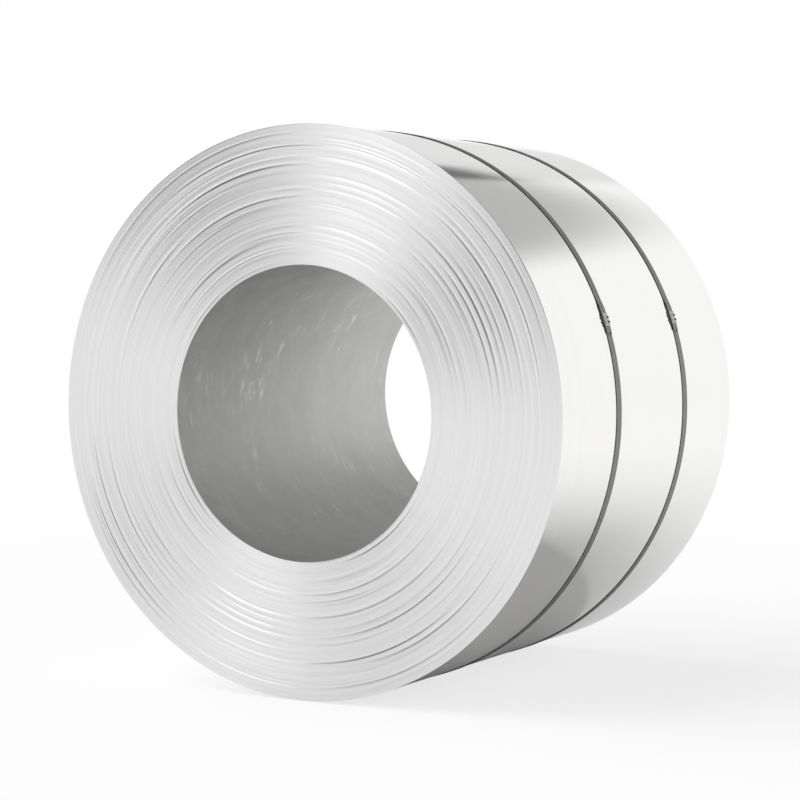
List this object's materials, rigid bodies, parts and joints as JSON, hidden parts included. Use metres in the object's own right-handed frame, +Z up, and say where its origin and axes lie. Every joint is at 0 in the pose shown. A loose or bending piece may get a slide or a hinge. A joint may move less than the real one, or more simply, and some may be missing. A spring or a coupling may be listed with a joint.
{
  "type": "aluminium foil coil",
  "caption": "Wide strapped coil of aluminium foil stock lying on its side, with an open bore for a mandrel.",
  "frame": {"origin": "on the floor under the middle of the coil, at the level of the straps it rests on", "axes": "+Y along the coil's axis from its front end to its rear end, +Z up, +X to the side on which the strap seals sit"},
  "size_m": [0.9874, 0.745, 0.9873],
  "materials": {
    "aluminium": "bright rolled foil, satin at the wound ends, dull in the bore",
    "strapping": "dull dark waxed steel strapping",
    "seal": "galvanised sheet steel"
  },
  "bodies": {
    "root": {"coil": "aluminium", "strap_front": "strapping", "strap_rear": "strapping", "seal_front": "seal", "seal_rear": "seal"}
  },
  "joints": []
}
